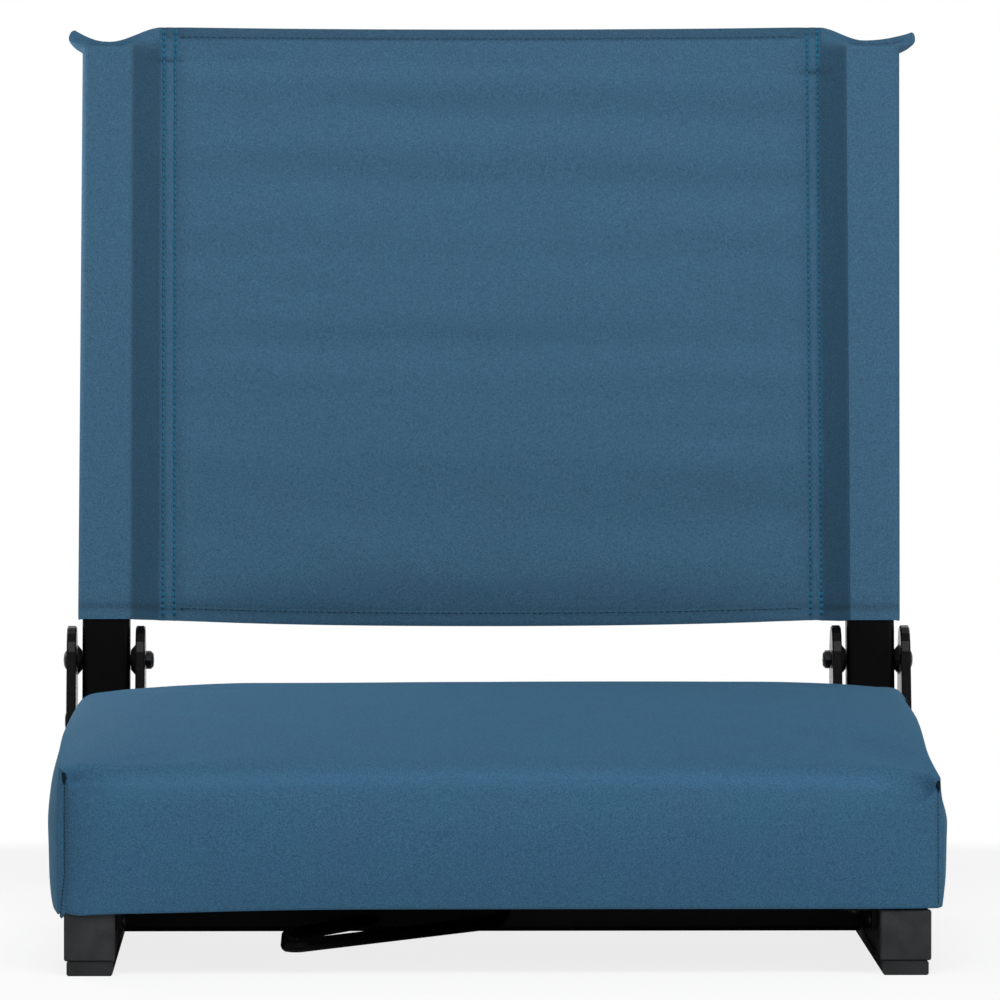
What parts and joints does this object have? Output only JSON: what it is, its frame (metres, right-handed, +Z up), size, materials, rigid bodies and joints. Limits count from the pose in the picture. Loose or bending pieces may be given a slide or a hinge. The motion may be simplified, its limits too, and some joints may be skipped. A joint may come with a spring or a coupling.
{
  "type": "folding bleacher seat",
  "caption": "Folding bleacher seat with a thick teal cushion on black steel rails, a cloth sling back that folds flat over the cushion and a swivelling bench hook underneath.",
  "frame": {"origin": "centre of the footprint, on the plane the grip strips rest on", "axes": "+Z up, -Y towards the front of the seat, +X to the right as seen from the front"},
  "size_m": [0.4466, 0.3904, 0.4704],
  "materials": {
    "birch_plywood": "satin",
    "black_felt": "matte",
    "black_nylon": "satin",
    "black_rubber": "matte",
    "black_zinc_fastener": "satin",
    "gloss_black_paint": "gloss",
    "grey_black_plastic": "matte",
    "pale_foam": "matte",
    "teal_woven_polyester": "matte"
  },
  "bodies": {
    "seat": {"board_tab_left": "gloss_black_paint", "board_tab_right": "gloss_black_paint", "crossbar_screw_left": "black_zinc_fastener", "crossbar_screw_right": "black_zinc_fastener", "dust_cover": "black_felt", "grip_strip_left": "black_rubber", "grip_strip_right": "black_rubber", "hinge_plate_left_inner": "gloss_black_paint", "hinge_plate_left_outer": "gloss_black_paint", "hinge_plate_right_inner": "gloss_black_paint", "hinge_plate_right_outer": "gloss_black_paint", "hook_bracket": "gloss_black_paint", "pivot_bolt_left": "black_zinc_fastener", "pivot_bolt_right": "black_zinc_fastener", "pivot_nut_left": "black_zinc_fastener", "pivot_nut_right": "black_zinc_fastener", "pivot_spacer_left_inner": "black_zinc_fastener", "pivot_spacer_left_outer": "black_zinc_fastener", "pivot_spacer_right_inner": "black_zinc_fastener", "pivot_spacer_right_outer": "black_zinc_fastener", "plate_bolt_left_front": "black_zinc_fastener", "plate_bolt_left_rear": "black_zinc_fastener", "plate_bolt_right_front": "black_zinc_fastener", "plate_bolt_right_rear": "black_zinc_fastener", "plate_nut_left_front": "black_zinc_fastener", "plate_nut_left_rear": "black_zinc_fastener", "plate_nut_right_front": "black_zinc_fastener", "plate_nut_right_rear": "black_zinc_fastener", "rail_crossbar": "gloss_black_paint", "rail_front_cap_left": "grey_black_plastic", "rail_front_cap_right": "grey_black_plastic", "rail_rear_cap_left": "grey_black_plastic", "rail_rear_cap_right": "grey_black_plastic", "seat_board": "birch_plywood", "seat_cover": "teal_woven_polyester", "seat_foam": "pale_foam", "seat_rail_left": "gloss_black_paint", "seat_rail_right": "gloss_black_paint", "stop_pin_left": "black_zinc_fastener", "stop_pin_right": "black_zinc_fastener", "stop_sleeve_left": "black_nylon", "stop_sleeve_right": "black_nylon", "tab_rivet_left": "black_zinc_fastener", "tab_rivet_right": "black_zinc_fastener", "tab_screw_left": "black_zinc_fastener", "tab_screw_right": "black_zinc_fastener"},
    "back": {"back_sling": "teal_woven_polyester", "back_upright_left": "gloss_black_paint", "back_upright_right": "gloss_black_paint", "pivot_bush_left": "black_nylon", "pivot_bush_right": "black_nylon", "upright_tail_plug_left": "grey_black_plastic", "upright_tail_plug_right": "grey_black_plastic", "upright_top_plug_left": "grey_black_plastic", "upright_top_plug_right": "grey_black_plastic"},
    "hook": {"bench_hook": "gloss_black_paint", "hook_washer": "black_nylon", "hook_retainer": "black_zinc_fastener"}
  },
  "joints": [
    {"name": "back_fold", "type": "hinge", "parent": "seat", "child": "back", "pos_m": [0, 0.1296, 0.1377], "axis": [1, 0, 0], "range_deg": [0, 96]},
    {"name": "hook_swivel", "type": "hinge", "parent": "seat", "child": "hook", "pos_m": [0.005, -0.0404, 0.014], "axis": [0, 0, 1], "range_deg": [-6, 75]}
  ]
}
